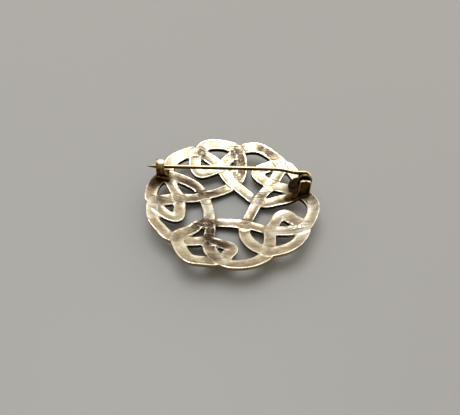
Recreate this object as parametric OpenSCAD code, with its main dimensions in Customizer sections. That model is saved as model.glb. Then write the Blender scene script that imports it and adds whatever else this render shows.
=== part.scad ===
// Round brooch: a pierced casting of one endless woven band, with a wire pin, its hinge and its catch.
// It lies on its domed front, as it does when it is taken off. Millimetres, back of the brooch up.

/* [Knotwork casting] */
// Width of the casting from the catch side to the hinge side
knot_w = 40.5; // [39.5:0.1:41.5]
// Width of the casting the other way
knot_l = 39.4; // [38.4:0.1:40.4]
// Width of the band, as a share of the width at each point of its route
band_share = 1; // [0.85:0.01:1.08]
// Thickness of the band from its lips to the crown of its front
band_t = 1.75; // [1.3:0.05:2.1]
// How deep the back of the band is sunk between its lips
recess = 0.2; // [0.05:0.05:0.35]
// How far the rim stands above the middle of the back
dish_h = 4.15; // [3.6:0.05:4.6]
// How far the band steps over or under itself at a crossing
weave = 0.27; // [0.15:0.01:0.4]

/* [Hinge] */
// Diameter of the rivet through the ears and the coil
rivet_d = 1.2; // [1:0.1:1.4]
// Width of an ear of the bracket
ear_w = 2.6; // [2:0.1:3]
// Thickness of an ear
ear_t = 0.6; // [0.4:0.1:0.8]
// Lean of the bracket, which lets the pin swing out past the lip of the catch
hinge_tilt = 12; // [8:1:16]

/* [Pin] */
// Diameter of the wire
wire_d = 1; // [0.8:0.1:1]
// Length of the round stem from the coil to where the point starts
stem_l = 35.3; // [34:0.1:36]
// Length of the tapered point
point_l = 2.4; // [1.5:0.1:3]
// Turns of the coil round the rivet
turns = 3; // [2:1:4]
// How far the stem is bent aside to reach the coil
bend_side = 1.25; // [0.8:0.05:1.5]
// Length over which it is bent
bend_l = 5; // [4:0.5:6]
// Slope of the closed pin down towards the catch
pin_slope = 2.67; // [2.4:0.01:3]

/* [Catch] */
// Width of the strip that the hook is bent from
hook_w = 2; // [1.5:0.1:2.4]
// Thickness of that strip
hook_t = 0.35; // [0.25:0.05:0.45]
// Outer radius of the hook's curl
hook_r = 1.5; // [1.4:0.05:1.6]

/* [Hidden] */
$fn = 48;
eps = 0.01;

// The route of the band over one fifth of its way. Each row is a point in the frame of its sector, which
// lies at the bottom: sector step, x, y, side of the weave (1 back, -1 front, 0 between) and band width.
STEP = 0; X = 1; Y = 2; LIFT = 3; WIDTH = 4;
ROUTE = [
    [0,   0.0,  -5.3,  0, 2.6],     // middle of the pentagon's side
    [1,  -4.5,  -5.4,  1, 2.7],     // corner of the pentagon, over the band that comes in
    [1, -4.15,  -7.5,  0, 2.5],
    [1,  -4.1,  -9.3,  0, 2.6],
    [1,  -4.3, -11.3, -1, 2.8],     // under the loop
    [1,  -3.9, -13.0,  0, 3.0],
    [1, -3.45, -14.8,  0, 3.1],
    [1,  -2.8, -16.4,  0, 3.0],
    [1,  -1.9, -17.6,  1, 2.9],     // on to the rim, over the loop's way out
    [1,   0.2, -18.4,  0, 2.7],
    [1,   2.7, -18.5,  0, 2.7],     // second lobe of the rim
    [1,   5.3, -17.8,  0, 2.8],
    [1,   7.6, -16.4,  0, 2.8],
    [2, -10.9, -13.1, -1, 2.8],     // off the rim, under the band that turns inwards
    [2,  -9.3, -12.6,  0, 2.9],
    [2,  -7.0, -12.1,  0, 2.7],
    [2,  -4.3, -11.3,  1, 2.8],
    [2,  -1.4, -11.7,  0, 2.8],
    [2,   0.6, -12.2,  0, 3.0],
    [2,   1.3, -13.0,  0, 3.2],     // tip of the loop
    [2,   1.1, -14.1,  0, 3.1],
    [2,   0.4, -15.3,  0, 3.0],
    [2,  -0.6, -16.7,  0, 2.9],
    [2,  -1.9, -17.6, -1, 2.9],     // on to the rim, under
    [2,  -4.5, -18.2,  0, 2.7],
    [2,  -7.3, -17.3,  0, 2.7],     // first lobe of the rim
    [2,  -9.6, -15.5,  0, 2.8],
    [2, -10.9, -13.1,  1, 2.9],     // off the rim, over
    [2, -10.3, -10.4,  0, 3.0],
    [2,  -8.8,  -8.0,  0, 3.0],
    [2,  -7.0,  -6.3,  0, 2.8],
    [2,  -4.5,  -5.4, -1, 2.7]];    // into the pentagon, under

// The casting is uneven. Each row is a place in the sector's frame, and how far the metal there lies off
// the even knot in each of the five sectors, counted from the bottom towards the hinge.
MARKS = [
    [[ -4.5,  -5.5], [ 0.1,  0.10], [ 0.3,  0.0], [ 0.1, -0.2], [-0.3,  0.13], [ 0.1,  0.1]], // corner
    [[  0.0,  -5.3], [ 0.0,  0.15], [ 0.1, -0.3], [ 0.0, -0.6], [ 0.0,  0.0], [ 0.0,  0.1]],  // side
    [[ -8.8,  -8.0], [ 0.5, -0.80], [-0.1,  0.0], [ 0.5, -0.3], [ 0.0,  0.0], [ 0.3,  0.5]],  // way in
    [[-10.9, -13.1], [ 0.0,  0.80], [ 0.0,  0.0], [-0.3,  0.4], [ 0.0,  0.0], [ 0.0,  0.1]],  // first notch
    [[ -9.3, -12.6], [ 0.0, -0.10], [ 0.0,  0.0], [ 0.0,  0.1], [ 0.0,  0.0], [ 0.0,  0.0]],  // loop's root
    [[ -7.3, -17.3], [-0.3, -0.60], [ 0.0, -0.4], [ 0.2,  0.6], [ 0.0,  0.0], [ 0.0,  0.3]],  // first lobe
    [[ -4.5, -18.2], [ 0.0,  0.15], [ 0.0, -0.4], [ 0.0,  0.5], [ 0.0, -0.1], [ 0.0,  0.3]],
    [[ -1.9, -17.6], [ 0.6,  0.10], [ 0.0, -0.8], [-0.7,  0.1], [ 0.1,  0.0], [-0.9,  0.1]],  // second notch
    [[  2.7, -18.5], [ 0.1,  0.10], [ 0.0, -0.7], [ 0.0, -0.1], [ 0.0,  0.1], [-0.3,  0.2]],  // second lobe
    [[  5.3, -17.8], [ 0.0,  0.00], [ 0.0, -0.8], [ 0.0, -0.4], [ 0.0, -0.1], [-0.4,  0.6]],
    [[ -4.3, -11.3], [ 0.0, -0.30], [ 0.0, -0.1], [ 0.0,  0.0], [-0.4,  0.0], [ 0.0, -0.1]],  // loop
    [[  1.6, -12.6], [-0.4, -0.50], [ 0.0,  0.1], [-0.1,  0.2], [-0.1,  0.2], [ 0.2, -0.3]],  // loop's tip
    [[  0.5, -15.4], [-0.1,  0.00], [-0.2,  0.0], [-0.4,  0.5], [ 0.2,  0.0], [ 0.4,  0.1]]];
mark_reach = 0.3;      // within this distance squared, a mark has nearly its full pull
sectors = 5;
turn = 360 / sectors;

// Section of the band, round from the left edge: share of the half width, height from the lips
SECTION = [
    [-1.00, -0.12], [-0.84, 0], [-0.50, -recess], [0.50, -recess], [0.84, 0], [1.00, -0.12],
    [0.97, -0.55 * band_t], [0.50, -band_t], [-0.50, -band_t], [-0.97, -0.55 * band_t]];
fine = 2;              // rings for each row of the route
tightest = 0.75;       // share of the bend's radius that the inner half of the band may take

function spin(p, a) = [p[0] * cos(a) - p[1] * sin(a), p[0] * sin(a) + p[1] * cos(a)];
function sum(v, i = 0) = i == len(v) - 1 ? v[i] : v[i] + sum(v, i + 1);

MARK_AT = [for (m = MARKS, s = [0 : sectors - 1]) spin(m[0], turn * s)];
MARK_OFF = [for (m = MARKS, s = [0 : sectors - 1]) spin(m[1 + s], turn * s)];

// A point of the even knot, moved by the marks near it
function cast(p) =
    let (pull = [for (m = MARK_AT) 1 / pow((m - p) * (m - p) + mark_reach, 2)])
    p + (pull * MARK_OFF) / sum(pull);

// All the way round: x, y, side of the weave and width, at each row of the route
COURSE = [for (f = [0 : sectors - 1], r = ROUTE)
    let (p = cast(spin([r[X], r[Y]], turn * (2 * f + r[STEP]))))
    [p[0], p[1], r[LIFT], r[WIDTH]]];
rows = len(COURSE);

// A smooth curve through four rows in turn, at the share t between the middle two
function blend(a, b, c, d, t) =
    (2 * b + (c - a) * t + (2 * a - 5 * b + 4 * c - d) * t * t + (3 * b - a - 3 * c + d) * t * t * t) / 2;
function at(i) = COURSE[(i + rows) % rows];
CURVE = [for (i = [0 : rows - 1], j = [0 : fine - 1])
    blend(at(i - 1), at(i), at(i + 1), at(i + 2), j / fine)];
rings = len(CURVE);
function flat(i) = let (c = CURVE[(i + rings) % rings]) [c[0], c[1]];

// Height of the dished back at a point
function back(p) = dish_h * (p * p) / pow(knot_w / 2, 2);

// How sharply the route bends to the left at a ring, as one over the radius
function bend(i) =
    let (a = flat(i - 1), b = flat(i), c = flat(i + 1))
    2 * cross(b - a, c - b) / (norm(b - a) * norm(c - b) * norm(c - a));

// Room for the inner half of the band: to the left with a side of 1, to the right with -1
function room(i, side) =
    let (b = side * bend(i))
    b > 0 ? tightest / b : knot_w;
function half(i, side) =
    min(CURVE[i % rings][3] * band_share / 2, room(i - 1, side), room(i, side), room(i + 1, side));

// One section of the band, narrowed on the inner side of a tight bend
function ring(i) =
    let (
        b = flat(i),
        along = (flat(i + 1) - flat(i - 1)) / norm(flat(i + 1) - flat(i - 1)),
        left = [-along[1], along[0]],
        half_left = half(i, 1),
        half_right = half(i, -1),
        lift = weave * CURVE[i % rings][2])
    [for (s = SECTION)
        let (p = b + left * s[0] * (s[0] > 0 ? half_left : half_right))
        [p[0], p[1], back(p) + lift + s[1]]];
RINGS = [for (i = [0 : rings - 1]) ring(i)];

// The origin is on the surface that the brooch lies on, under the middle of the knot
seat_h = -min([for (r = RINGS, p = r) p[2]]);

// One fifth of the band, from one side of the pentagon to the next side that it makes. It runs on by one
// ring, so that its end lies inside the next fifth.
module strand(f) {
    n = len(SECTION);
    steps = rings / sectors;
    last = steps + 1;
    polyhedron(
        [for (i = [0 : last], p = RINGS[(f * steps + i) % rings]) p],
        concat(
            [[for (j = [n - 1 : -1 : 0]) j]],
            [[for (j = [0 : n - 1]) last * n + j]],
            [for (i = [0 : last - 1], j = [0 : n - 1]) [i * n + j, i * n + (j + 1) % n, (i + 1) * n + j]],
            [for (i = [0 : last - 1], j = [0 : n - 1])
                [(i + 1) * n + j, i * n + (j + 1) % n, (i + 1) * n + (j + 1) % n]]),
        convexity = 10);
}

// Metal that ran across one of the small gaps and was left there
flash_at = spin([-6.7, -8.7], turn * 3);
flash_size = [2.1, 1.35, 0.55];
flash_turn = 47;

module casting() {
    resize([knot_w, knot_l, 0]) union() {
        for (f = [0 : sectors - 1]) strand(f);
        translate([flash_at[0], flash_at[1], back(flash_at) - 0.7])
            rotate([0, 0, turn * 3 + flash_turn]) scale(flash_size) sphere(1, $fn = 12);
    }
}

// Hinge: the rivet's middle at the pin's turn of the coil, from the middle of the back
hinge_at = [17.3, 5.68, 5.96];
wire_r = wire_d / 2;
coil_gap = 0.05;                        // running clearance round the rivet
coil_r = rivet_d / 2 + coil_gap + wire_r;
coil_pitch = 0.95 * wire_d;
tail_slope = 40;                        // the tail leaves the last turn downwards and meets the pad
tail_l = 2.65;
bend_start = 1.5;                       // straight stem between the coil and the bend
bend_turn = 2 * atan(bend_side / bend_l);
bend_r = bend_l / (2 * sin(bend_turn));
side_gap = 0.1;                         // between the coil and an ear
ear_near = -(turns - 1) * coil_pitch - wire_r - side_gap - ear_t;
ear_far = wire_r + side_gap;
ear_top = 0.7;                          // above the rivet's axis
ear_round = 0.5;
ear_foot = [3.7, 2.2];                  // below the axis, near ear and far ear
hole_gap = 0.03;                        // rivet in the ears
head_r = 0.8;
head_t = 0.15;

module at_hinge() translate(hinge_at) rotate([-hinge_tilt, 0, 0]) children();

// A plate across the rivet, from y to y + t
module plate(y, t) translate([0, y + t, 0]) rotate([90, 0, 0]) linear_extrude(t) children();

module ear(y, foot) {
    plate(y, ear_t) {
        translate([-ear_w / 2, -foot]) square([ear_w, foot + ear_top - ear_round]);
        translate([-ear_w / 2 + ear_round, -foot]) square([ear_w - 2 * ear_round, foot + ear_top]);
        for (side = [-1, 1])
            translate([side * (ear_w / 2 - ear_round), ear_top - ear_round]) circle(ear_round);
    }
}

// The round pad under the coil follows the dish, so it climbs towards the rim
pad_at = [16.1, 5.5, 3.35];             // middle of its top
pad_r = 2.4;
pad_t = 0.6;
pad_lean = [3.4, -18, 5];

module hinge_bracket() {
    at_hinge() {
        ear(ear_near, ear_foot[0]);
        ear(ear_far, ear_foot[1]);
    }
    translate(pad_at) rotate(pad_lean) translate([0, 0, -pad_t]) cylinder(r = pad_r, h = pad_t, $fn = 24);
}

// The rivet's bore through both ears
module bore() {
    at_hinge() rotate([-90, 0, 0]) translate([0, 0, ear_near - ear_t])
        cylinder(r = rivet_d / 2 + hole_gap, h = ear_far - ear_near + 3 * ear_t);
}

// Catch: middle of the hook's curl, from the middle of the back
hook_at = [-16.9, 6.45, 6.3];
hook_lip = 78;                          // the lip ends at this angle, just past the top of the curl
wall_foot = 3.35;                       // the wall goes down this far, into the casting
foot_l = 2.5;
foot_t = 1.0;
skirt = 0.8;                            // the strip is wider at its foot by this
skirt_h = 1.7;

module catch() {
    translate(hook_at) {
        translate([-hook_w / 2, 0, 0]) rotate([90, 0, 90]) {
            linear_extrude(hook_w) {
                intersection() {
                    difference() {
                        circle(hook_r);
                        circle(hook_r - hook_t);
                    }
                    polygon([[0, 0], 3 * [cos(hook_lip), sin(hook_lip)], [0, 3], [-3, 3], [-3, 0]]);
                }
                translate([-hook_r, -wall_foot]) square([hook_t, wall_foot + eps]);
            }
            linear_extrude(hook_w + skirt) {
                translate([-hook_r, -wall_foot]) square([hook_t, skirt_h]);
                translate([-hook_r, -wall_foot]) square([foot_l, foot_t]);
            }
        }
    }
}

module knotwork() {
    color("#B8A676") translate([0, 0, seat_h]) difference() {
        resize([0, 0, 0]) union() {
            casting();
            hinge_bracket();
            catch();
        }
        bore();
    }
}

module hinge_rivet() {
    color("#5A4630") translate([0, 0, seat_h]) at_hinge() {
        length = ear_far + ear_t - ear_near;
        translate([0, ear_near - head_t - hole_gap, 0]) rotate([-90, 0, 0]) {
            cylinder(r = rivet_d / 2, h = length + 2 * (head_t + hole_gap));
            cylinder(r = head_r, h = head_t);
            translate([0, 0, length + head_t + 2 * hole_gap]) cylinder(r = head_r, h = head_t);
        }
    }
}

// Bent wire from one angle on, in the plane across which the coil stands
module arc(start, angle, r) rotate([0, 0, start]) rotate_extrude(angle = angle) translate([bend_r, 0]) circle(r);

module pin_stem() {
    color("#C2A468") translate([0, 0, seat_h]) at_hinge() rotate([0, -pin_slope, 0]) {
        rotate([90, 0, 0]) rotate_extrude()
            for (k = [0 : turns - 1]) translate([coil_r, k * coil_pitch]) circle(wire_r);
        translate([0, 0, coil_r]) {
            run = 0.05;                     // each length of wire runs this far into the one before it
            rotate([0, -90, 0]) cylinder(r = wire_r - eps, h = bend_start + run);
            translate([-bend_start, bend_r, 0]) arc(-90 - bend_turn, bend_turn, wire_r);
            translate([-bend_start - bend_l, bend_side - bend_r, 0])
                arc(90 - bend_turn - 1, bend_turn + 1, wire_r - eps);
            translate([run - bend_start - bend_l, bend_side, 0]) rotate([0, -90, 0]) {
                straight = stem_l - bend_start - bend_l + run;
                cylinder(r = wire_r - 2 * eps, h = straight);
                translate([0, 0, straight]) cylinder(r1 = wire_r - 2 * eps, r2 = 0.08, h = point_l);
            }
        }
        translate([0, -(turns - 1) * coil_pitch, 0]) rotate([0, -90 - tail_slope, 0])
            translate([-coil_r, 0, 0]) cylinder(r = wire_r - eps, h = tail_l);
    }
}

knotwork();
hinge_rivet();
pin_stem();
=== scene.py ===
"""Round brooch seen from its back: a pierced cast knot, its wire pin, the hinge and the catch.
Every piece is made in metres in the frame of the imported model, and rides on one of its two bodies."""
import math

import bmesh
import bpy
import numpy as np
from mathutils import Euler, Matrix, Vector, noise


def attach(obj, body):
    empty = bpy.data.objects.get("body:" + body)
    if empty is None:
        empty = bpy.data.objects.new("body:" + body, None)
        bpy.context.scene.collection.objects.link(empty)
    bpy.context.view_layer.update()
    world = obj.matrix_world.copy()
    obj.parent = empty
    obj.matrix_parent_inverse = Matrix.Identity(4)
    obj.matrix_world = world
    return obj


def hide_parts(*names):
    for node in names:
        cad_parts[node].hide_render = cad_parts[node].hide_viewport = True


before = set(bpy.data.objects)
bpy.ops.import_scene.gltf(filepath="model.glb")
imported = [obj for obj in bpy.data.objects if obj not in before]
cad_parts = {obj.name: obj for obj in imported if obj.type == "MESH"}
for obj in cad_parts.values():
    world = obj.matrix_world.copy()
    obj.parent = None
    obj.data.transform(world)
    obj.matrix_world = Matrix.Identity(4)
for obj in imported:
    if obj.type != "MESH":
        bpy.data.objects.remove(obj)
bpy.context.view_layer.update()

# Knot casting
# One pierced casting in brass: a flat band, woven over and under itself into five loops round a pentagon.
# Its back is a shallow dish, and a trough between two lips runs along the band. It was cast in one piece,
# so the metal has run together where the band crosses itself.
MM = 0.001
seat = 1.66407  # mm from the surface that the brooch lies on up to the middle of its back
knot_w, knot_l = 40.5, 39.4
band_t = 1.75
dish_h = 4.15  # how far the rim stands above the middle of the back
weave = 0.27  # how far the band steps over or under itself at a crossing
# One fifth of the band's route, each row in its sector's frame: sector step, x, y, side of the weave, width
ROUTE = [
    (0, 0.0, -5.3, 0, 2.6), (1, -4.5, -5.4, 1, 2.7), (1, -4.15, -7.5, 0, 2.5), (1, -4.1, -9.3, 0, 2.6),
    (1, -4.3, -11.3, -1, 2.8), (1, -3.9, -13.0, 0, 3.0), (1, -3.45, -14.8, 0, 3.1), (1, -2.8, -16.4, 0, 3.0),
    (1, -1.9, -17.6, 1, 2.9), (1, 0.2, -18.4, 0, 2.7), (1, 2.7, -18.5, 0, 2.7), (1, 5.3, -17.8, 0, 2.8),
    (1, 7.6, -16.4, 0, 2.8), (2, -10.9, -13.1, -1, 2.8), (2, -9.3, -12.6, 0, 2.9), (2, -7.0, -12.1, 0, 2.7),
    (2, -4.3, -11.3, 1, 2.8), (2, -1.4, -11.7, 0, 2.8), (2, 0.6, -12.2, 0, 3.0), (2, 1.3, -13.0, 0, 3.2),
    (2, 1.1, -14.1, 0, 3.1), (2, 0.4, -15.3, 0, 3.0), (2, -0.6, -16.7, 0, 2.9), (2, -1.9, -17.6, -1, 2.9),
    (2, -4.5, -18.2, 0, 2.7), (2, -7.3, -17.3, 0, 2.7), (2, -9.6, -15.5, 0, 2.8), (2, -10.9, -13.1, 1, 2.9),
    (2, -10.3, -10.4, 0, 3.0), (2, -8.8, -8.0, 0, 3.0), (2, -7.0, -6.3, 0, 2.8), (2, -4.5, -5.4, -1, 2.7)]
# The knot isn't quite even: a place in the sector's frame, and how far the metal there is off in each sector
MARKS = [
    ((-4.5, -5.5), (0.1, 0.1), (0.3, 0.0), (0.1, -0.2), (-0.3, 0.13), (0.1, 0.1)),
    ((0.0, -5.3), (0.0, 0.15), (0.1, -0.3), (0.0, -0.6), (0.0, 0.0), (0.0, 0.1)),
    ((-8.8, -8.0), (0.5, -0.8), (-0.1, 0.0), (0.5, -0.3), (0.0, 0.0), (0.3, 0.5)),
    ((-10.9, -13.1), (0.0, 0.8), (0.0, 0.0), (-0.3, 0.4), (0.0, 0.0), (0.0, 0.1)),
    ((-9.3, -12.6), (0.0, -0.1), (0.0, 0.0), (0.0, 0.1), (0.0, 0.0), (0.0, 0.0)),
    ((-7.3, -17.3), (-0.3, -0.6), (0.0, -0.4), (0.2, 0.6), (0.0, 0.0), (0.0, 0.3)),
    ((-4.5, -18.2), (0.0, 0.15), (0.0, -0.4), (0.0, 0.5), (0.0, -0.1), (0.0, 0.3)),
    ((-1.9, -17.6), (0.6, 0.1), (0.0, -0.8), (-0.7, 0.1), (0.1, 0.0), (-0.9, 0.1)),
    ((2.7, -18.5), (0.1, 0.1), (0.0, -0.7), (0.0, -0.1), (0.0, 0.1), (-0.3, 0.2)),
    ((5.3, -17.8), (0.0, 0.0), (0.0, -0.8), (0.0, -0.4), (0.0, -0.1), (-0.4, 0.6)),
    ((-4.3, -11.3), (0.0, -0.3), (0.0, -0.1), (0.0, 0.0), (-0.4, 0.0), (0.0, -0.1)),
    ((1.6, -12.6), (-0.4, -0.5), (0.0, 0.1), (-0.1, 0.2), (-0.1, 0.2), (0.2, -0.3)),
    ((0.5, -15.4), (-0.1, 0.0), (-0.2, 0.0), (-0.4, 0.5), (0.2, 0.0), (0.4, 0.1))]
sectors = 5
turn = 2 * math.pi / sectors
mark_reach = 0.3  # within this distance squared, a mark has nearly its full pull


def spin(p, sector):
    """A place turned about the middle by some sectors."""
    c, s = math.cos(turn * sector), math.sin(turn * sector)
    return np.array([p[0] * c - p[1] * s, p[0] * s + p[1] * c])


mark_at = np.array([spin(m[0], s) for m in MARKS for s in range(sectors)])
mark_off = np.array([spin(m[1 + s], s) for m in MARKS for s in range(sectors)])
course = []
for fifth in range(sectors):
    for step, x, y, side, width in ROUTE:
        p = spin((x, y), 2 * fifth + step)
        pull = 1 / (((mark_at - p) ** 2).sum(1) + mark_reach) ** 2
        course.append([*(p + pull @ mark_off / pull.sum()), side, width])
course = np.array(course)
fine = 8  # rings of the sweep for each row of the route, on a smooth curve through the rows
t = np.linspace(0, 1, fine, endpoint=False)[None, :, None]
a, b, c, d = (np.roll(course, k, 0)[:, None, :] for k in (1, 0, -1, -2))
curve = ((2 * b + (c - a) * t + (2 * a - 5 * b + 4 * c - d) * t ** 2
          + (3 * b - a - 3 * c + d) * t ** 3) / 2).reshape(-1, 4)

# from lip to lip over the back, then round the front: share of the half width, height from the lips
section = np.array([
    (-1.0, -0.36), (-0.985, -0.15), (-0.95, -0.04), (-0.9, 0.0), (-0.83, -0.01), (-0.7, -0.06),
    (-0.55, -0.115), (-0.3, -0.175), (0.0, -0.2), (0.3, -0.175), (0.55, -0.115), (0.7, -0.06), (0.83, -0.01),
    (0.9, 0.0), (0.95, -0.04), (0.985, -0.15), (1.0, -0.36), (0.985, -0.75), (0.9, -1.15), (0.72, -1.5),
    (0.42, -1.71), (0.0, -band_t), (-0.42, -1.71), (-0.72, -1.5), (-0.9, -1.15), (-0.985, -0.75)])
here = curve[:, :2]
before, after = np.roll(here, 2, 0), np.roll(here, -2, 0)
along = after - before
length = np.linalg.norm(along, axis=1)
along /= length[:, None]
left = np.stack([-along[:, 1], along[:, 0]], 1)
one, two = here - before, after - here
bend = 2 * (one[:, 0] * two[:, 1] - one[:, 1] * two[:, 0]) / (
    np.linalg.norm(one, axis=1) * np.linalg.norm(two, axis=1) * length)
# the maker's hand: slow waves in the band's width and height, each as height, radians a ring and start
WAVES = [(0.05, 0.113, 1), (0.04, 0.071, 2), (0.03, 0.237, 0)]
width_waver, height_waver = 0.6, 0.5
ring = np.arange(len(curve))
unsteady = sum(high * np.sin(ring * pace + start) for high, pace, start in WAVES)
half = curve[:, 3] / 2 * (1 + width_waver * unsteady)
# on the inside of a tight bend the band is narrower, so that it doesn't fold over itself
bend_share, straight = 0.85, 1e-6
room = bend_share / np.maximum(np.abs(bend), straight)
half_left = np.where(bend > 0, np.minimum(half, room), half)
half_right = np.where(bend < 0, np.minimum(half, room), half)
spread = 4  # rings each way over which a change of width is eased
half_left, half_right = (sum(np.roll(h, k) for k in range(-spread, spread + 1)) / (2 * spread + 1)
                         for h in (half_left, half_right))
reach = np.where(section[None, :, 0] > 0, half_left[:, None], half_right[:, None]) * section[None, :, 0]
flat = here[:, None, :] + left[:, None, :] * reach[:, :, None]
rise = dish_h * (flat ** 2).sum(2) / (knot_w / 2) ** 2
height = rise + (weave * curve[:, 2] + height_waver * unsteady)[:, None] + section[None, :, 1]
rings = np.dstack([flat, height])
low, high = rings[:, :, :2].min((0, 1)), rings[:, :, :2].max((0, 1))
stretch = np.array([knot_w, knot_l]) / (high - low)
rings[:, :, :2] *= stretch


def shape(name, points, faces):
    """A mesh object from points in millimetres above the middle of the back."""
    mesh = bpy.data.meshes.new(name)
    points = np.asarray(points, float) + [0, 0, seat]
    mesh.from_pydata((points * MM).tolist(), [], faces)
    mesh.validate()
    thing = bpy.data.objects.new(name, mesh)
    bpy.context.scene.collection.objects.link(thing)
    return thing


def tube(rings, closed):
    """Points and faces of a skin over rings of points, open ones with flat ends."""
    rings = np.asarray(rings)
    count, around = rings.shape[:2]
    faces = []
    for i in range(count if closed else count - 1):
        a, b = i * around, (i + 1) % count * around
        faces += [(a + j, a + (j + 1) % around, b + (j + 1) % around, b + j) for j in range(around)]
    if not closed:
        faces.append(tuple(range(around - 1, -1, -1)))
        faces.append(tuple((count - 1) * around + j for j in range(around)))
    return rings.reshape(-1, 3), faces


def blob(centre, radii, turned):
    """Points and faces of a rounded lump of metal, turned by degrees."""
    ball = bmesh.new()
    bmesh.ops.create_icosphere(ball, subdivisions=3, radius=1)
    matrix = Matrix.Translation(centre) @ Euler([math.radians(a) for a in turned]).to_matrix().to_4x4() \
        @ Matrix.Diagonal((*radii, 1))
    points = [matrix @ v.co for v in ball.verts]
    faces = [tuple(v.index for v in f.verts) for f in ball.faces]
    ball.free()
    return np.array(points), faces


def joined(parts):
    """One list of points and faces from several."""
    points, faces, start = [], [], 0
    for some_points, some_faces in parts:
        points.append(np.asarray(some_points))
        faces += [tuple(i + start for i in f) for f in some_faces]
        start += len(some_points)
    return np.vstack(points), faces


def melted(name, parts, voxel, rounds, keep=1.0, fillet=0.0):
    """Overlapping shells run together into one skin, as cast or soldered metal does. Lengths are in mm, and
    rounds is how often the skin is softened."""
    rough = shape(name + "_shells", *joined(parts))
    for step in (0, fillet, -fillet) if fillet else (0,):
        # out by the fillet, together, and back again: the sharp inner corners stay filled
        if step:
            offset = rough.modifiers.new("offset", "DISPLACE")
            offset.mid_level = 0
            offset.strength = step * MM
        if step >= 0:
            remesh = rough.modifiers.new("melt", "REMESH")
            remesh.mode = "VOXEL"
            remesh.voxel_size = voxel * MM
    soft = rough.modifiers.new("soften", "SMOOTH")
    soft.factor = 0.5
    soft.iterations = rounds
    if keep < 1:
        # fewer triangles, most of them left where the skin is curved
        thin = rough.modifiers.new("thin", "DECIMATE")
        thin.ratio = keep
    mesh = bpy.data.meshes.new_from_object(rough.evaluated_get(bpy.context.evaluated_depsgraph_get()))
    mesh.name = name
    bpy.data.objects.remove(rough)
    thing = bpy.data.objects.new(name, mesh)
    bpy.context.scene.collection.objects.link(thing)
    mesh.polygons.foreach_set("use_smooth", [True] * len(mesh.polygons))
    return thing


def read_points(mesh):
    """A mesh's points in mm above the middle of the back, and its normals."""
    flat = np.empty(len(mesh.vertices) * 3, np.float32)
    mesh.vertices.foreach_get("co", flat)
    points = flat.reshape(-1, 3) / MM - [0, 0, seat]
    mesh.vertex_normals.foreach_get("vector", flat)
    return points, flat.reshape(-1, 3).astype(float)


def write_points(mesh, points):
    """Moves a mesh's points to places in mm above the middle of the back."""
    mesh.vertices.foreach_set("co", ((points + [0, 0, seat]) * MM).astype(np.float32).ravel())
    mesh.update()


def edges_of(mesh):
    """The two points at the ends of each edge."""
    ends = np.empty(len(mesh.edges) * 2, np.int32)
    mesh.edges.foreach_get("vertices", ends)
    return ends.reshape(-1, 2)


def averaged(values, ends, rounds):
    """Values at the points of a mesh, each averaged with its neighbours again and again."""
    count = np.bincount(ends.ravel(), minlength=len(values))
    one, two = ends.T
    columns = values.reshape(len(values), -1).T
    for _ in range(rounds):
        columns = np.array([(c + np.bincount(one, c[two], len(c)) + np.bincount(two, c[one], len(c)))
                            / (count + 1) for c in columns])
    return columns.T.reshape(values.shape)


def keep_values(mesh, name, values):
    """Keeps a value from 0 to 1 at each point, for a material to read."""
    layer = mesh.attributes.new(name, "FLOAT", "POINT")
    layer.data.foreach_set("value", np.clip(values, 0, 1).astype(np.float32))


def dish(x, y):
    """Height of the dished back at a place."""
    return dish_h * (x * x + y * y) / (knot_w / 2) ** 2


def ease(values, start, end):
    """A smooth step from 0 to 1 as the values go from start to end."""
    share = np.clip((values - start) / (end - start), 0, 1)
    return share * share * (3 - 2 * share)


def bumps_at(points, places):
    """Soft round hills over places given as x, y, radius and height, added up."""
    return sum(high * np.exp(-(((points[:, :2] - (x, y)) / radius) ** 2).sum(1))
               for x, y, radius, high in places)


def rippled(points, *layers):
    """Uneven metal: layers of noise added up at each point, each given as its height and ripples a mm."""
    return np.array([sum(high * noise.noise(Vector(p) * pace) for high, pace in layers) for p in points])


def worn_edges(mesh, rounds, sharp):
    """Keeps as worn what stands out from the skin averaged in some rounds, fully worn from sharp mm on.
    Gives the points, the normals and how far each point stands out, as a share of sharp."""
    points, normals = read_points(mesh)
    ends = edges_of(mesh)
    out = ((points - averaged(points, ends, rounds)) * normals).sum(1) / sharp
    keep_values(mesh, "worn", averaged(out, ends, 4))
    return points, normals, out


# a lump in a hole on the far side that was never cut away: x, y, above the dish, radii, turned about z
LUMPS = [
    (0.05, 10.95, -0.5, (2.1, 1.35, 0.5), 83),
    (0.35, 12.0, -0.45, (0.8, 1.0, 0.45), 40)]
lumps = [blob((x, y, dish(x, y) + up), radii, (0, 0, a)) for x, y, up, radii, a in LUMPS]
corner_fillet = 0.25  # metal has stayed in the sharp inner corners
voxel, kept_share = ((0.12, 0.34))
lip_rounds, trough_rounds, filed_rounds = ((12, 40, 25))
casting = melted("knot_casting", [tube(rings, closed=True)] + lumps, voxel, rounds=2, keep=kept_share,
                 fillet=corner_fillet)
mesh = casting.data
ends = edges_of(mesh)

# The back was filed nearly flush where the band crosses itself: row of the route, share of the step gone
FLUSH = {1: 0.92, 8: 0.6, 16: 0.92, 27: 0.65}
flush_reach, flush_level = 1.65, -0.09  # how far the file reached, and its level from the lips
back_from, back_full = -0.9, -0.5  # mm from the lips: metal further down belongs to the front
file_from, file_full = 0.05, 0.75  # shares of the hill about a crossing where the file starts and bites
rubbed_from, rubbed_full = 0.2, 0.65
faces_up = 0.45  # least rise of the normals on the back
points, normals = read_points(mesh)
crossed = np.zeros(len(points))
for row, share in FLUSH.items():
    for x, y in course[row::len(ROUTE), :2] * stretch:
        near = bumps_at(points, [(x, y, flush_reach, 1.0)])
        above = points[:, 2] - dish(points[:, 0], points[:, 1])
        cut = ease(near, file_from, file_full) * share * ease(above, back_from, back_full)
        points[:, 2] += cut * (flush_level - above)
        crossed = np.maximum(crossed, near)
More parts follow.
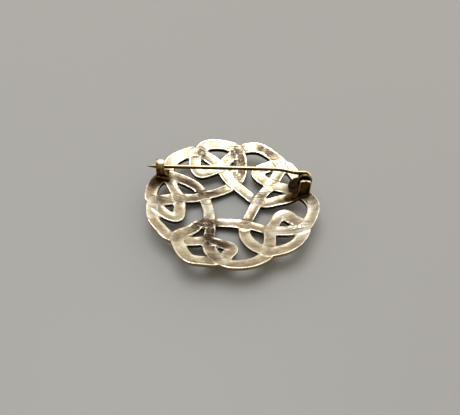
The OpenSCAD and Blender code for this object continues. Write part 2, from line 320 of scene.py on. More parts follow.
# The crossings were rubbed smooth too. No lip or step is left, because points that face up are averaged.
upper = (normals[:, 2] > faces_up).astype(float)
summed, counted = averaged(np.stack([points[:, 2] * upper, upper], 1), ends, filed_rounds).T
level = summed / np.maximum(counted, 1e-6)
points[:, 2] += ease(crossed, rubbed_from, rubbed_full) * upper * (level - points[:, 2])
write_points(mesh, points)

# Unfinished places: x, y, radius, how far the skin is roughened there, in mm
ROUGH = [
    (-7.4, -6.6, 2.6, 0.16), (-4.2, -6.0, 2.0, 0.10), (-9.2, -9.6, 1.6, 0.07), (2.2, 14.2, 3.6, 0.13),
    (0.4, 16.8, 2.2, 0.12), (2.6, 10.5, 2.6, 0.10), (-9.2, 15.6, 2.0, 0.08), (14.6, -6.6, 2.8, 0.08)]
# Pits and short cracks: x, y, radius, depth
PITS = [
    (-1.3, 16.2, 0.45, 0.2), (0.6, 13.4, 0.7, 0.4), (14.0, 11.5, 0.3, 0.15), (-9.6, 16.2, 0.5, 0.15),
    (-8.4, 15.2, 0.4, 0.12), (1.9, 17.4, 0.35, 0.15), (2.0, 9.2, 0.35, 0.15), (0.9, 10.2, 0.5, 0.3)]
filed_rough, roughest = 0.035, 0.15  # mm left by the file, and where the skin counts as unfinished
points, normals = read_points(mesh)
raw = bumps_at(points, ROUGH) + filed_rough * crossed
skin = rippled(points, (0.028, 0.8), (0.016, 2.1))
grit = rippled(points, (1.0, 2.3), (0.6, 5.1))
push = skin + raw * grit - bumps_at(points, PITS) * (normals[:, 2] > 0.3)
write_points(mesh, points + normals * push[:, None])
points, normals, out = worn_edges(mesh, lip_rounds, sharp=0.05)
keep_values(mesh, "soiled", averaged(-out, ends, 8))
keep_values(mesh, "facing", normals[:, 2] / 2 + 0.5)
keep_values(mesh, "unfinished", raw / roughest)
# the trough of the band, where cloth doesn't reach the tarnish
trough_deep = 0.06
hollow = ((averaged(points, ends, trough_rounds) - points) * normals).sum(1)
keep_values(mesh, "trough", averaged(ease(hollow, 0.0, trough_deep), ends, 4))
# Burnt brown where the hinge and the catch were soldered: x, y, radius, how strong
SCORCHED = [
    (15.8, 2.0, 2.0, 1.2), (13.6, 2.2, 1.2, 0.8), (15.0, 5.6, 2.2, 0.9), (-16.4, 5.6, 2.2, 1.2),
    (-18.2, 2.6, 2.2, 0.6)]
keep_values(mesh, "scorched", bumps_at(points, SCORCHED))
# Old stain, in pools on the crossings and in patches along the band: x, y, radius, how strong
STAINS = [
    (-4.2, -7.2, 2.6, 1.7), (-7.2, -7.2, 1.9, 1.5), (-3.5, -11.6, 1.9, 1.4), (-1.3, -12.6, 1.8, 1.5),
    (-4.4, -16.6, 1.2, 0.5), (-2.2, -17.3, 1.5, 0.7), (-3.8, 4.2, 1.5, 0.55), (-1.9, 3.4, 1.2, 0.4),
    (6.3, -1.8, 1.4, 0.9), (-7.6, 2.4, 2.4, 0.9), (-5.3, 3.6, 1.5, 0.6), (-15.6, -1.1, 2.2, 0.8),
    (-11.5, -0.4, 1.6, 0.7), (-12.1, 6.3, 2.2, 0.8), (-9.6, 5.2, 1.8, 0.8), (-18.6, 2.7, 1.6, 0.8),
    (-7.0, 13.8, 1.8, 0.8), (-0.2, 16.7, 1.5, 1.1), (1.8, 16.0, 1.6, 1.1), (7.4, 17.4, 1.8, 1.1),
    (2.3, 13.8, 1.7, 1.0), (2.6, 10.8, 1.6, 0.9), (-4.9, 9.4, 1.6, 0.5), (-8.0, 15.6, 1.2, 0.8),
    (9.8, 15.6, 1.7, 1.0), (7.0, 3.2, 2.0, 0.75), (12.2, 2.1, 1.8, 0.65), (5.4, -5.3, 1.7, 0.6),
    (8.9, -9.0, 1.5, 0.55), (2.7, -4.3, 1.2, 0.4), (-11.2, -12.3, 1.3, 0.5), (3.7, 7.5, 1.4, 0.4),
    (14.0, -6.9, 1.8, 0.5), (-16.3, -4.4, 1.2, 0.4)]
keep_values(mesh, "stained", bumps_at(points, STAINS))
# Painted highlights: pale patches where the back glints. x, y, radius, how bright
PAINTED_GLINTS = [
    (-4.8, -1.6, 1.4, 1.0), (-5.9, 0.1, 1.2, 0.8), (-1.0, -5.0, 1.4, 0.9), (19.6, -1.7, 1.8, 1.0),
    (17.0, -8.5, 2.4, 1.1), (11.6, -2.5, 1.6, 0.9), (11.8, -8.3, 1.6, 0.8), (-18.2, -3.1, 1.5, 0.9),
    (-14.3, 12.8, 2.6, 1.1), (6.0, 2.3, 1.4, 0.8), (0.4, 5.2, 1.4, 0.7), (14.5, 12.0, 2.0, 0.8)]
keep_values(mesh, "painted_glint", bumps_at(points, PAINTED_GLINTS))
keep_values(mesh, "crossed", crossed)
# the outer wall of the rim, where the painted shade of the walls is a lighter brown-gold than in the holes
rim_from, rim_full = 15.5, 17.5
from_middle = np.linalg.norm(points[:, :2], axis=1)
outward = (points[:, :2] / from_middle[:, None] * normals[:, :2]).sum(1)
keep_values(mesh, "rim", ease(from_middle, rim_from, rim_full) * ease(outward, 0.1, 0.6))


def linear(colour):
    """An sRGB hex colour as the linear colour that a socket takes."""
    parts = [int(colour[i:i + 2], 16) / 255 for i in (1, 3, 5)]
    return [c / 12.92 if c <= 0.04045 else ((c + 0.055) / 1.055) ** 2.4 for c in parts] + [1.0]


def add(material, kind, links=None, out=0, stops=(), **settings):
    """Adds a node with its settings, sets or links its sockets, fills its stops and gives one output."""
    tree = material.node_tree
    node = tree.nodes.new(kind)
    for name, value in settings.items():
        setattr(node, name, value)
    for name, value in (links or {}).items():
        if isinstance(value, bpy.types.NodeSocket):
            tree.links.new(value, node.inputs[name])
        else:
            node.inputs[name].default_value = linear(value) if isinstance(value, str) else value
    for k, (place, colour) in enumerate(stops):
        if k >= len(node.color_ramp.elements):
            node.color_ramp.elements.new(place)
        node.color_ramp.elements[k].position = place
        node.color_ramp.elements[k].color = linear(colour)
    return node.outputs[out] if node.outputs else None


def started(name, *marks):
    """An empty material, its place in metres, and the values that the mesh keeps under these names."""
    material = bpy.data.materials.new(name)
    material.use_nodes = True
    material.node_tree.nodes.clear()
    values = [add(material, "ShaderNodeAttribute", out="Fac", attribute_name=mark) for mark in marks]
    return material, add(material, "ShaderNodeTexCoord", out="Object"), *values


NOISE, RANGE, RAMP = "ShaderNodeTexNoise", "ShaderNodeMapRange", "ShaderNodeValToRGB"
MIX, MATH, BUMP = "ShaderNodeMix", "ShaderNodeMath", "ShaderNodeBump"
METAL, SURFACE = "ShaderNodeBsdfPrincipled", "ShaderNodeOutputMaterial"
# Sockets that share a name are given by number. In a mix they are the share and the two colours, and the
# colour that comes out. The two values of a Math node are 0 and 1.
SHARE, UNDER, OVER, COLOUR = 0, 6, 7, 2

# Cast brass, filed and polished once and now satin. It is tan in the trough, rubbed pale along its lips and
# painted near white there as a highlight, stained dark brown over file marks at the crossings, with painted
# highlights in pale patches, and painted shade, dark brown, on the walls of the holes.
cast, place, facing, worn, soiled, trough, painted_glint, crossing, stained, unfinished, scorched, rim = started(
    "cast_brass_worn",
    "facing", "worn", "soiled", "trough", "painted_glint", "crossed", "stained", "unfinished", "scorched", "rim")
# clouds of tarnish 3 mm across, from pale gold to a greyish tan
clouds = add(cast, NOISE, {"Vector": place, "Scale": 1 / (3.2 * MM), "Detail": 4, "Roughness": 0.55})
skin = add(cast, RAMP, {"Fac": clouds}, stops=[
    (0.33, "#F6ECD4"), (0.46, "#E8DCBE"), (0.54, "#D6C7AA"), (0.6, "#BEAC96"), (0.72, "#EEE3C6")])
# grime in specks 0.4 mm across
specks = add(cast, NOISE, {"Vector": place, "Scale": 1 / (0.4 * MM), "Detail": 5, "Roughness": 0.65})
grime = add(cast, RAMP, {"Fac": specks}, stops=[(0.38, "#7E6A54"), (0.52, "#FFFFFF")])
skin = add(cast, MIX, {SHARE: 0.4, UNDER: skin, OVER: grime}, out=COLOUR, data_type="RGBA",
           blend_type="MULTIPLY")
# tarnish in the trough, thinner and thicker with the clouds
deep = add(cast, RANGE, {"Value": clouds, "From Min": 0.3, "From Max": 0.6, "To Min": 0.15, "To Max": 0.5})
deep = add(cast, MATH, {0: deep, 1: trough}, operation="MULTIPLY")
skin = add(cast, MIX, {SHARE: deep, UNDER: skin, OVER: "#9E8E6C"}, out=COLOUR, data_type="RGBA")
# painted highlights: pale patches where the back glints
glint_share = add(cast, RANGE, {"Value": painted_glint, "To Max": 0.85})
skin = add(cast, MIX, {SHARE: glint_share, UNDER: skin, OVER: "#FFF8E8"}, out=COLOUR, data_type="RGBA")
# stain in blots 1.1 mm across
blots = add(cast, NOISE, {"Vector": place, "Scale": 1 / (1.1 * MM), "Detail": 4, "Roughness": 0.6})
blots = add(cast, RANGE, {"Value": blots, "From Min": 0.38, "From Max": 0.54, "To Min": 0.66, "To Max": 1.0})
stain = add(cast, MATH, {0: stained, 1: blots}, operation="MULTIPLY", use_clamp=True)
skin = add(cast, MIX, {SHARE: stain, UNDER: skin, OVER: "#43352A"}, out=COLOUR, data_type="RGBA")
# file marks 5 mm long and 0.25 mm apart, slanting across the back, deep where it is stained or unfinished
slant = add(cast, "ShaderNodeMapping", {
    "Vector": place, "Rotation": (0, 0, 0.65), "Scale": (1 / (5 * MM), 1 / (0.25 * MM), 1 / (1 * MM))})
filed = add(cast, NOISE, {"Vector": slant, "Scale": 1.0, "Detail": 2, "Roughness": 0.5})
cuts = add(cast, RANGE, {"Value": filed, "From Min": 0.53, "From Max": 0.4})
coarse = add(cast, MATH, {0: stained, 1: unfinished}, operation="MAXIMUM")
filing = add(cast, RANGE, {"Value": coarse, "To Min": 0.22, "To Max": 0.9})
cuts = add(cast, MATH, {0: cuts, 1: filing}, operation="MULTIPLY")
skin = add(cast, MIX, {SHARE: cuts, UNDER: skin, OVER: "#3E2E20"}, out=COLOUR, data_type="RGBA")
# dust and old polish in the hollows
dust = add(cast, RANGE, {"Value": soiled, "From Min": 0.2, "From Max": 1.0, "To Max": 0.25})
skin = add(cast, MIX, {SHARE: dust, UNDER: skin, OVER: "#6E5A42"}, out=COLOUR, data_type="RGBA")
# painted shade on the walls: nearly black on the walls of the holes, and a brown-gold on the outer wall of
# the rim
wall_shade = add(cast, RAMP, {"Fac": facing}, stops=[
    (0.16, "#000000"), (0.3, "#FFFFFF"), (0.6, "#FFFFFF"), (0.76, "#000000")])
side = add(cast, RAMP, {"Fac": rim}, stops=[(0.2, "#22160B"), (0.8, "#9A7A42")])
skin = add(cast, MIX, {SHARE: wall_shade, UNDER: skin, OVER: side}, out=COLOUR, data_type="RGBA")
# the front has kept its polish
front = add(cast, RANGE, {"Value": facing, "From Min": 0.3, "From Max": 0.16})
skin = add(cast, MIX, {SHARE: front, UNDER: skin, OVER: "#E2C88C"}, out=COLOUR, data_type="RGBA")
# cloth and fingers rub the lips, in runs 2.5 mm long, but less where the crossings are filed flat. Their
# near white is partly a painted highlight.
runs = add(cast, NOISE, {"Vector": place, "Scale": 1 / (2.5 * MM), "Detail": 2, "Roughness": 0.5})
runs = add(cast, RANGE, {"Value": runs, "From Min": 0.36, "From Max": 0.56, "To Min": 0.35, "To Max": 1.0})
open_lip = add(cast, RANGE, {
    "Value": crossing, "From Min": 0.15, "From Max": 0.6, "To Min": 1.0, "To Max": 0.3})
back = add(cast, RANGE, {"Value": facing, "From Min": 0.6, "From Max": 0.76})
lip_rub_and_highlight = add(cast, RANGE, {"Value": worn, "From Min": 0.06, "From Max": 0.42})
for share in (runs, open_lip, back):
    lip_rub_and_highlight = add(cast, MATH, {0: lip_rub_and_highlight, 1: share}, operation="MULTIPLY")
skin = add(cast, MIX, {SHARE: lip_rub_and_highlight, UNDER: skin, OVER: "#FFF9E6"}, out=COLOUR, data_type="RGBA")
# burnt where the hinge and the catch were soldered
burn = add(cast, RANGE, {"Value": scorched, "From Min": 0.2, "From Max": 0.9})
skin = add(cast, MIX, {SHARE: burn, UNDER: skin, OVER: "#33230F"}, out=COLOUR, data_type="RGBA")
# The satin comes from scratches some 0.02 mm apart. They are too fine for the picture and are drawn coarser,
# 0.15 mm apart. The lips are smoother.
scratches = add(cast, NOISE, {"Vector": place, "Scale": 1 / (0.15 * MM), "Detail": 3, "Roughness": 0.6})
dull = add(cast, RANGE, {
    "Value": scratches, "From Min": 0.3, "From Max": 0.7, "To Min": 0.2, "To Max": 0.42})
gloss = add(cast, RANGE, {"Value": lip_rub_and_highlight, "To Min": dull, "To Max": 0.2})
# the skin of the casting swells in waves 1.2 mm across
swell = add(cast, NOISE, {"Vector": place, "Scale": 1 / (1.2 * MM), "Detail": 3, "Roughness": 0.5})
relief = add(cast, BUMP, {"Strength": 0.35, "Distance": 0.12 * MM, "Height": swell})
relief = add(cast, BUMP, {"Strength": filing, "Distance": 0.09 * MM, "Height": filed, "Normal": relief})
relief = add(cast, BUMP, {"Strength": 0.35, "Distance": 0.03 * MM, "Height": scratches, "Normal": relief})
metal = add(cast, METAL, {"Metallic": 1.0, "Base Color": skin, "Roughness": gloss, "Normal": relief})
add(cast, SURFACE, {"Surface": metal})
casting.data.materials.append(cast)
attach(casting, "brooch")
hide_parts("knotwork")

# Hinge bracket
# Two ears cut from brass sheet stand on a round pad under the coil. All three are soldered to the rim, and
# the solder has run out at their feet. The ears lean, as the rivet does.
hinge_at = Vector((17.3, 5.68, 5.96))
hinge_tilt = 12  # degrees by which ears and rivet lean, so that the pin clears the catch as it opens
lean = Matrix.Translation(hinge_at) @ Euler((math.radians(-hinge_tilt), 0, 0)).to_matrix().to_4x4()


def ear(y, foot, width=2.6, thick=0.6, top=0.7, corner=0.7, flare=0.05, corner_steps=8):
    """An ear's outline across the rivet, with a rounded top and a foot that is a little wider."""
    outline = [(-width / 2 - flare, -foot), (width / 2 + flare, -foot)]
    for side, start in ((1, 0), (-1, 90)):
        for k in range(corner_steps + 1):
            a = math.radians(start + k * 90 / corner_steps)
            outline.append((side * (width / 2 - corner) + corner * math.cos(a),
                            top - corner + corner * math.sin(a)))
    slices = [[lean @ Vector((x, y + d, z)) for x, z in outline] for d in (0, thick)]
    return tube(slices, closed=False)


EARS = [(-3.1, 3.7), (0.6, 2.2)]  # where on the rivet each ear starts, and how far down its foot is
pad_at, pad_r, pad_t = (16.1, 5.5, 3.35), 2.4, 0.6
pad_lean = (3.4, -18, 5)  # degrees: the pad follows the dish up to the rim
pad_edge = 0.12  # its upper edge is broken by this
pad_sides = 48
pad_tilt = Euler([math.radians(a) for a in pad_lean])
pad_turn = Matrix.Translation(pad_at) @ pad_tilt.to_matrix().to_4x4()
circle = [(math.cos(a), math.sin(a)) for a in np.linspace(0, 2 * math.pi, pad_sides, endpoint=False)]
pad = tube([[pad_turn @ Vector((r * x, r * y, z)) for x, y in circle]
            for r, z in ((pad_r, -pad_t), (pad_r, -pad_edge), (pad_r - pad_edge, 0.0))], closed=False)
# where solder has run out: middle, radii, turned
SOLDER = [
    ((17.3, 2.3, 3.3), (1.7, 0.7, 0.45), (0, -16, 0)), ((15.6, 2.5, 2.75), (1.3, 0.8, 0.42), (0, -18, 20)),
    ((17.3, 6.7, 3.95), (1.5, 0.6, 0.4), (0, -18, 0)), ((16.2, 3.2, 3.0), (1.5, 1.0, 0.45), (0, -16, 0))]
shells = [ear(*e) for e in EARS] + [pad] + [blob(*s) for s in SOLDER]
bracket = melted("hinge_bracket", shells, voxel=0.07, rounds=3)
mesh = bracket.data
points, normals = read_points(mesh)
write_points(mesh, points + normals * rippled(points, (0.03, 1.3), (0.012, 4))[:, None])
points, normals, _ = worn_edges(mesh, 12, sharp=0.035)
# cloth and fingers rub only the ears' tops
keep_values(mesh, "rubbed", ease(points[:, 2], 5.6, 6.2) * ease(normals[:, 2], 0.3, 0.7))
# darker low down: the pad and the feet are made nearly black
keep_values(mesh, "dark_low", ease(points[:, 2], 4.8, 3.8))

# Brass sheet blackened by the soldering flame and never polished. Its edges are rubbed to a dull gold, and
# the tops of the ears to a pale one. Lowest down, the pad and the feet are nearly black.
burnt, place, worn, rubbed, dark_low = started("sheet_brass_burnt", "worn", "rubbed", "dark_low")
# soot in patches 0.9 mm across
tarnish = add(burnt, NOISE, {"Vector": place, "Scale": 1 / (0.9 * MM), "Detail": 5, "Roughness": 0.6})
soot = add(burnt, RAMP, {"Fac": tarnish}, stops=[(0.35, "#181006"), (0.5, "#382812"), (0.65, "#6E522A")])
edge = add(burnt, RANGE, {"Value": worn, "From Min": 0.25, "From Max": 0.8, "To Max": 0.7})
soot = add(burnt, MIX, {SHARE: edge, UNDER: soot, OVER: "#B8924F"}, out=COLOUR, data_type="RGBA")
dark_low = add(burnt, RANGE, {"Value": dark_low, "To Max": 0.85})
soot = add(burnt, MIX, {SHARE: dark_low, UNDER: soot, OVER: "#140C06"}, out=COLOUR, data_type="RGBA")
soot = add(burnt, MIX, {SHARE: rubbed, UNDER: soot, OVER: "#FFEFC8"}, out=COLOUR, data_type="RGBA")
dull = add(burnt, RANGE, {"Value": tarnish, "To Min": 0.28, "To Max": 0.5})
dents = add(burnt, BUMP, {"Strength": 0.5, "Distance": 0.04 * MM, "Height": tarnish})
metal = add(burnt, METAL, {"Metallic": 1.0, "Base Color": soot, "Roughness": dull, "Normal": dents})
add(burnt, SURFACE, {"Surface": metal})
bracket.data.materials.append(burnt)
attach(bracket, "brooch")
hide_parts("knotwork")

# Catch
# One strip of brass sheet, bent up from its foot and over into a hook that the pin springs under. It is
# soldered to the casting by its foot. A thumb rubs its curl pale, and its wall has stayed dark.
hook_at = np.array([-16.9, 6.45, 6.3])
hook_w, hook_t, hook_r = 2.0, 0.35, 1.5
hook_lip, hook_step = 78, 6  # degrees round the curl: where its lip ends, and from one row to the next
wall_foot, foot_l, skirt = 3.35, 2.5, 0.8
skirt_top, skirt_fade = -1.2, 0.7  # below its top the strip widens by the skirt over this height
middle = hook_r - hook_t / 2
# the strip's middle line: along its foot, up the wall and over the curl, as y and z from the curl's middle
line = [(foot_l - hook_r, -wall_foot + 0.55), (-middle + 0.4, -wall_foot + 0.6),
        (-middle + 0.1, -wall_foot + 0.75), (-middle, -wall_foot + 1.1), (-middle, -1.4), (-middle, -0.6)]
line += [(middle * math.cos(math.radians(a)), middle * math.sin(math.radians(a)))
         for a in range(180, hook_lip - 1, -hook_step)]
line = np.array(line)
ahead = np.gradient(line, axis=0)
ahead /= np.linalg.norm(ahead, axis=1)[:, None]
across = np.stack([-ahead[:, 1], ahead[:, 0]], 1)
strip = []
for p, n in zip(line, across):
    wide = hook_w / 2 + skirt * max(0.0, min(1.0, (skirt_top - p[1]) / skirt_fade))
    corners = [(-hook_w / 2, -1), (wide, -1), (wide, 1), (-hook_w / 2, 1)]
    strip.append([hook_at + (x, *(p + n * s * hook_t / 2)) for x, s in corners])
SOLDER = [
    ((-16.6, 6.1, 3.1), (1.5, 1.5, 0.45), (0, 14, 0)), ((-15.9, 5.0, 3.0), (1.2, 0.5, 0.5), (0, 14, 0)),
    ((-17.2, 5.0, 3.3), (0.9, 0.45, 0.45), (0, 14, 0))]
catch = melted("catch", [tube(strip, closed=False)] + [blob(*s) for s in SOLDER], voxel=0.06, rounds=3)
mesh = catch.data
points, normals = read_points(mesh)
write_points(mesh, points + normals * rippled(points, (0.02, 1.5), (0.008, 5))[:, None])
points, normals, _ = worn_edges(mesh, 10, sharp=0.03)
# the thumb's place on top of the curl, and a painted reflection up the wall, each off the strip's middle by
# some mm
thumb_off, reflection_off, reflection_reach = 0.15, 0.3, 0.26
keep_values(mesh, "rubbed", ease(points[:, 2], 6.6, 7.5) * ease(normals[:, 2], 0.1, 0.8)
            * ease(np.abs(points[:, 0] - hook_at[0] - thumb_off), 0.85, 0.35))
off_middle = points[:, 0] - hook_at[0] - reflection_off
keep_values(mesh, "painted_reflection", np.exp(-(off_middle / reflection_reach) ** 2) * ease(points[:, 2], 4.0, 5.0))
# darker low down, on the foot
keep_values(mesh, "dark_low", ease(points[:, 2], 4.6, 3.7))

# The same burnt sheet, bent and then handled: pale gold on the curl, with a painted golden reflection up the
# dark wall.
bent, place, worn, rubbed, painted_reflection, dark_low = started(
    "sheet_brass_bent", "worn", "rubbed", "painted_reflection", "dark_low")
# streaks from the rolls, 0.6 mm wide and 5 mm long, up the strip
along_strip = add(bent, "ShaderNodeMapping", {
    "Vector": place, "Scale": (1 / (0.6 * MM), 1 / (5 * MM), 1 / (5 * MM))})
streak = add(bent, NOISE, {"Vector": along_strip, "Scale": 1.0, "Detail": 3, "Roughness": 0.6})
streak = add(bent, RANGE, {"Value": streak, "From Min": 0.48, "From Max": 0.6, "To Max": 0.5})
# the painted reflection up the wall joins the streaks from the rolls
streak = add(bent, MATH, {0: streak, 1: painted_reflection}, operation="MAXIMUM")
# soot in patches 0.9 mm across
tarnish = add(bent, NOISE, {"Vector": place, "Scale": 1 / (0.9 * MM), "Detail": 5, "Roughness": 0.6})
soot = add(bent, RAMP, {"Fac": tarnish}, stops=[(0.35, "#4A3618"), (0.62, "#96743A")])
soot = add(bent, MIX, {SHARE: streak, UNDER: soot, OVER: "#C79C54"}, out=COLOUR, data_type="RGBA")
edge = add(bent, RANGE, {"Value": worn, "From Min": 0.3, "From Max": 0.9, "To Max": 0.55})
soot = add(bent, MIX, {SHARE: edge, UNDER: soot, OVER: "#C7A461"}, out=COLOUR, data_type="RGBA")
dark_low = add(bent, RANGE, {"Value": dark_low, "To Max": 0.85})
soot = add(bent, MIX, {SHARE: dark_low, UNDER: soot, OVER: "#1E140A"}, out=COLOUR, data_type="RGBA")
soot = add(bent, MIX, {SHARE: rubbed, UNDER: soot, OVER: "#E8D6A8"}, out=COLOUR, data_type="RGBA")
dull = add(bent, RANGE, {"Value": tarnish, "To Min": 0.2, "To Max": 0.42})
dents = add(bent, BUMP, {"Strength": 0.4, "Distance": 0.03 * MM, "Height": tarnish})
metal = add(bent, METAL, {"Metallic": 1.0, "Base Color": soot, "Roughness": dull, "Normal": dents})
add(bent, SURFACE, {"Surface": metal})
catch.data.materials.append(bent)
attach(catch, "brooch")
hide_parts("knotwork")

# Pin
# One length of drawn brass wire, coiled round the rivet, with a short tail under the coil, a straight stem
# and a filed point. It is a little bent from use.
wire_r = 0.5
wire_sides = 20
coil_r, coil_wire_r = 1.15, wire_r - 0.01  # drawn a hair thinner, to clear the rivet and the ears
stem_l, point_l = 35.3, 2.4
tip_r, tip_shape = 0.06, 0.75  # the point swells fast from its tip
bend_start, bend_l, bend_side = 1.5, 5.0, 1.25  # the stem is bent aside to reach the coil
sag_h, sag_from = 0.05, 4.0  # the bend from use, which starts clear of the coil
coil_turns = 1 + 140 / 360
coil_end = -1.9  # where on the rivet the coil ends
tail_slope, tail_start, tail_end = 40, 0.1, 2.55  # degrees down, and mm from the end of the coil
tail_cut, cut_share = 2.2, 0.86  # past here the cut end of the tail is a little thinner
stem_rings, coil_rings, tail_rings = 180, 160, 18
pin_slope = 2.67  # degrees down from the coil to the catch
pin_turn = lean @ Euler((0, math.radians(-pin_slope), 0)).to_matrix().to_4x4()


def wire(path, radii, sides):
    """Rings of a round wire along a path, kept from twisting."""
    path = np.asarray(path, float)
    along = np.gradient(path, axis=0)
    along /= np.linalg.norm(along, axis=1)[:, None]
    side = np.cross(along[0], [0.1, 0.2, 1.0])
    rings = []
    turn = np.linspace(0, 2 * math.pi, sides, endpoint=False)
    for point, ahead, radius in zip(path, along, radii):
        side = side - ahead * side.dot(ahead)
        side /= np.linalg.norm(side)
        up = np.cross(ahead, side)
        rings.append(point + radius * (np.outer(np.cos(turn), side) + np.outer(np.sin(turn), up)))
    return rings


# each row: a place in the coil's frame, the outer side there, the wire's radius, and how tarnished it is
pin_rows = []
pin_l = stem_l + point_l
for s in np.linspace(pin_l, 0, stem_rings):
    sag = sag_h * math.sin(s / pin_l * math.pi) * min(1, s / sag_from)
    radius = wire_r if s < stem_l else max(tip_r, wire_r * ((pin_l - s) / point_l) ** tip_shape)
    aside = bend_side * float(ease(s, bend_start, bend_start + bend_l))
    pin_rows.append(((-s, aside, coil_r + sag), (0, 0, 1), radius, 0.0))
for share in np.linspace(0, 1, coil_rings)[1:]:
    a = 2 * math.pi * coil_turns * share
    outer = (math.sin(a), 0, math.cos(a))
    spot = (coil_r * outer[0], coil_end * share, coil_r * outer[2])
    # painted highlight: the pale line is turned towards the coil's near side
    highlit_side = np.array((outer[0], -0.7 * ease(a, 0.2, 1.2), outer[2]))
    pin_rows.append((spot, highlit_side / np.linalg.norm(highlit_side), coil_wire_r, ease(a, 2.0, 2.7)))
coil_foot = np.array(spot)
heading = np.array((-math.cos(math.radians(tail_slope)), 0, -math.sin(math.radians(tail_slope))))
for s in np.linspace(tail_start, tail_end, tail_rings):
    radius = wire_r * (1 if s < tail_cut else cut_share)
    pin_rows.append((tuple(coil_foot + heading * s), outer, radius, 1.0))
spots, outers, radii, tarnished = zip(*pin_rows)
pin = shape("pin_wire", *tube(wire([pin_turn @ Vector(p) for p in spots], radii, wire_sides), closed=False))
mesh = pin.data
mesh.polygons.foreach_set("use_smooth", [True] * len(mesh.polygons))
_, normals = read_points(mesh)
outers = np.repeat([pin_turn.to_3x3() @ Vector(o) for o in outers], wire_sides, axis=0)
keep_values(mesh, "facing", (normals * outers).sum(1))
keep_values(mesh, "tarnished", np.repeat(tarnished, wire_sides))

# Drawn wire: its outer side is rubbed pale by cloth, with faint lines along it. The rest is brown with
# tarnish, and with painted shade that darkens its underside. The coil has stayed nearly black, as the
# bracket has.
drawn, place, facing, tarnished = started("drawn_brass_wire", "facing", "tarnished")
# Lines from the drawing, 7 mm long. Real ones are nearer 0.05 mm apart, too fine to show, and these are
# drawn coarser, 0.25 mm apart.
along_wire = add(drawn, "ShaderNodeMapping", {
    "Vector": place, "Scale": (1 / (7 * MM), 1 / (0.25 * MM), 1 / (0.25 * MM))})
lines = add(drawn, NOISE, {"Vector": along_wire, "Scale": 1.0, "Detail": 4, "Roughness": 0.6})
gold = add(drawn, RAMP, {"Fac": lines}, stops=[(0.3, "#E3C891"), (0.6, "#FFF0CF")])
tarnish_and_shade = add(drawn, RAMP, {"Fac": lines}, stops=[(0.3, "#4A3820"), (0.65, "#7C6038")])
# painted shade: brown below the wire's top, and darker still underneath
underside_shade = add(drawn, RANGE, {"Value": facing, "From Min": 0.95, "From Max": 0.8})
skin = add(drawn, MIX, {SHARE: underside_shade, UNDER: gold, OVER: tarnish_and_shade}, out=COLOUR, data_type="RGBA")
bottom_shade = add(drawn, RANGE, {"Value": facing, "From Min": 0.3, "From Max": 0.0})
skin = add(drawn, MIX, {SHARE: bottom_shade, UNDER: skin, OVER: "#33240F"}, out=COLOUR, data_type="RGBA")
tarnished = add(drawn, RANGE, {"Value": tarnished, "To Max": 0.9})
skin = add(drawn, MIX, {SHARE: tarnished, UNDER: skin, OVER: "#160D06"}, out=COLOUR, data_type="RGBA")
dull = add(drawn, RANGE, {"Value": lines, "To Min": 0.16, "To Max": 0.34})
draw_marks = add(drawn, BUMP, {"Strength": 0.3, "Distance": 0.02 * MM, "Height": lines})
metal = add(drawn, METAL, {"Metallic": 1.0, "Base Color": skin, "Roughness": dull, "Normal": draw_marks})
add(drawn, SURFACE, {"Surface": metal})
pin.data.materials.append(drawn)
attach(pin, "pin")
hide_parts("pin_stem")

# Hinge rivet
# A short brass wire through the ears and the coil, with its ends hammered over. The CAD node has its shape
# and stays, with a material of its own.
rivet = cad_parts["hinge_rivet"]

# Hammered brass gone dark, with small facets that glint.
hammered, place = started("rivet_brass_hammered")
# blows of the hammer, 0.35 mm across
facets = add(hammered, NOISE, {"Vector": place, "Scale": 1 / (0.35 * MM), "Detail": 2, "Roughness": 0.5})
soot = add(hammered, RAMP, {"Fac": facets}, stops=[(0.35, "#33240F"), (0.7, "#6E5328")])
dull = add(hammered, RANGE, {"Value": facets, "To Min": 0.25, "To Max": 0.45})
blows = add(hammered, BUMP, {"Strength": 0.6, "Distance": 0.05 * MM, "Height": facets})
metal = add(hammered, METAL, {"Metallic": 1.0, "Base Color": soot, "Roughness": dull, "Normal": blows})
add(hammered, SURFACE, {"Surface": metal})
rivet.data.materials.clear()
rivet.data.materials.append(hammered)

# Floor
# A plain pale floor of matt painted board, four metres wide, that the brooch lies on. It is no part of the
# brooch.
bpy.ops.mesh.primitive_plane_add(size=4, location=(0, 0, 0))
floor = bpy.context.object
floor.name = "floor"
paint = bpy.data.materials.new("floor_pale")
paint.use_nodes = True
matt = paint.node_tree.nodes["Principled BSDF"]
matt.inputs["Base Color"].default_value = linear("#878683")
matt.inputs["Roughness"].default_value = 0.6
floor.data.materials.append(paint)

# Light
# Plain soft studio light: a broad lamp overhead and a little behind, in a room of white sheets. The ceiling
# is brightest, and the walls are greyer half way up, darker at the front and brighter at the right.
lamp = bpy.data.lights.new("overhead", "AREA")
lamp.shape = "RECTANGLE"
lamp.size, lamp.size_y = 0.4, 0.3
lamp.energy = 1.8  # watts
overhead = bpy.data.objects.new("overhead", lamp)
bpy.context.scene.collection.objects.link(overhead)
overhead.location = (-0.08, 0.07, 0.5)
overhead.rotation_euler = (-overhead.location).to_track_quat("-Z", "Y").to_euler()

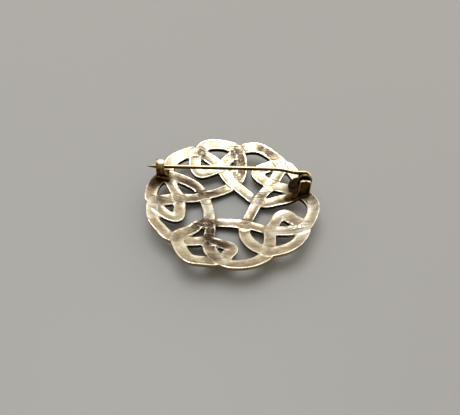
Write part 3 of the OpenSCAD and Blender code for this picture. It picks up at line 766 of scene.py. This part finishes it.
world = bpy.data.worlds.new("room")
bpy.context.scene.world = world
world.use_nodes = True
world.node_tree.nodes.clear()
way = add(world, "ShaderNodeTexCoord", out="Generated")
right_way, back_way, up_way = (
    add(world, "ShaderNodeSeparateXYZ", {"Vector": way}, out=axis) for axis in ("X", "Y", "Z"))
shade = add(world, RAMP, {"Fac": up_way}, stops=[
    (0.0, "#B4B0A8"), (0.12, "#ECE8E0"), (0.34, "#DCD8D0"), (0.55, "#C6C2BA"), (0.74, "#CCC8C0"),
    (0.88, "#F4F2EC"), (1.0, "#FFFFFF")])
depth = add(world, RANGE, {
    "Value": back_way, "From Min": -0.7, "From Max": 0.3, "To Min": 0.48, "To Max": 1.38})
ceiling = add(world, RANGE, {
    "Value": up_way, "From Min": 0.8, "From Max": 0.96, "To Min": 1.0, "To Max": 1.25})
strength = add(world, MATH, {0: depth, 1: ceiling}, operation="MULTIPLY")
right = add(world, RANGE, {
    "Value": right_way, "From Min": 0.1, "From Max": 0.5, "To Min": 1.0, "To Max": 1.5})
strength = add(world, MATH, {0: strength, 1: right}, operation="MULTIPLY")
room = add(world, "ShaderNodeBackground", {"Color": shade, "Strength": strength})
add(world, "ShaderNodeOutputWorld", {"Surface": room})
bpy.context.scene.view_settings.view_transform = "Standard"

# Camera
# The photograph's angle: 49 degrees above the surface, about 100 mm away, leaning a little to one side. The
# numbers were fitted to the outline of the knot.
view = bpy.data.cameras.new("camera")
camera = bpy.data.objects.new("camera", view)
bpy.context.scene.collection.objects.link(camera)
bpy.context.scene.camera = camera
elevation, distance, roll = math.radians(49), 102.1, math.radians(3.68)
aim = Vector((0, 0, seat)) * MM
back_off = Vector((0, -math.cos(elevation), math.sin(elevation)))
camera.location = aim + back_off * distance * MM
camera.rotation_euler = ((-back_off).to_track_quat("-Z", "Y").to_matrix()
                         @ Matrix.Rotation(roll, 3, "Z")).to_euler()
picture_w, picture_h = 460, 415
lens_px, centre_x, centre_y = 427, 229.44, 206.6  # focal length and optical centre, in the picture's pixels
view.sensor_width = 36
view.lens = lens_px / picture_w * view.sensor_width
view.shift_x = (picture_w / 2 - centre_x) / picture_w
view.shift_y = (centre_y - picture_h / 2) / picture_w
view.clip_start = 0.005
